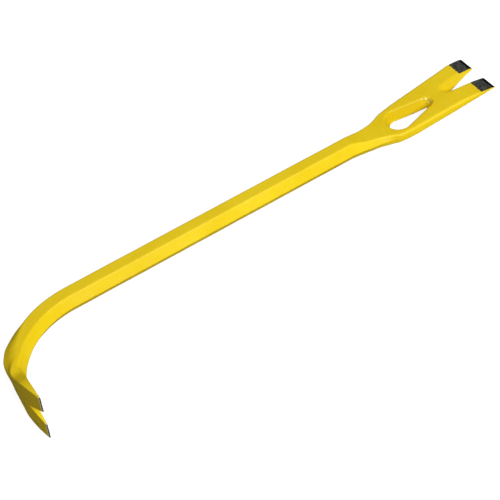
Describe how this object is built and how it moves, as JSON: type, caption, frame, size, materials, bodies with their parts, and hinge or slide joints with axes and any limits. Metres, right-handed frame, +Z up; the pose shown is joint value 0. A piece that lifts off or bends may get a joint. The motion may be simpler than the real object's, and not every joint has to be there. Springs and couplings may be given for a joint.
{
  "type": "pry bar",
  "caption": "Double-ended steel pry bar: hexagon shank, gooseneck with a flared slotted claw, and a flat forked end with a teardrop nail hole, powder coated yellow.",
  "frame": {"origin": "on the surface that the bar lies on, under the middle of its bounding box", "axes": "+X along the shank towards the forked end, +Z up as the bar lies on its side; the gooseneck bends towards -Y"},
  "size_m": [0.6112, 0.1482, 0.0621],
  "materials": {
    "yellow_powder_coat": "glossy powder coat with slight orange peel over forged steel",
    "ground_steel": "dark oil-blackened steel with coarse grinding marks"
  },
  "bodies": {
    "root": {"shank": "yellow_powder_coat", "gooseneck": "yellow_powder_coat", "claw_heel": "yellow_powder_coat", "claw_tine_upper": "yellow_powder_coat", "claw_tine_lower": "yellow_powder_coat", "claw_tip_upper": "ground_steel", "claw_tip_lower": "ground_steel", "fork_neck": "yellow_powder_coat", "fork_blade": "yellow_powder_coat", "fork_tine_left": "yellow_powder_coat", "fork_tine_right": "yellow_powder_coat", "fork_tip_left": "ground_steel", "fork_tip_right": "ground_steel"}
  },
  "joints": []
}
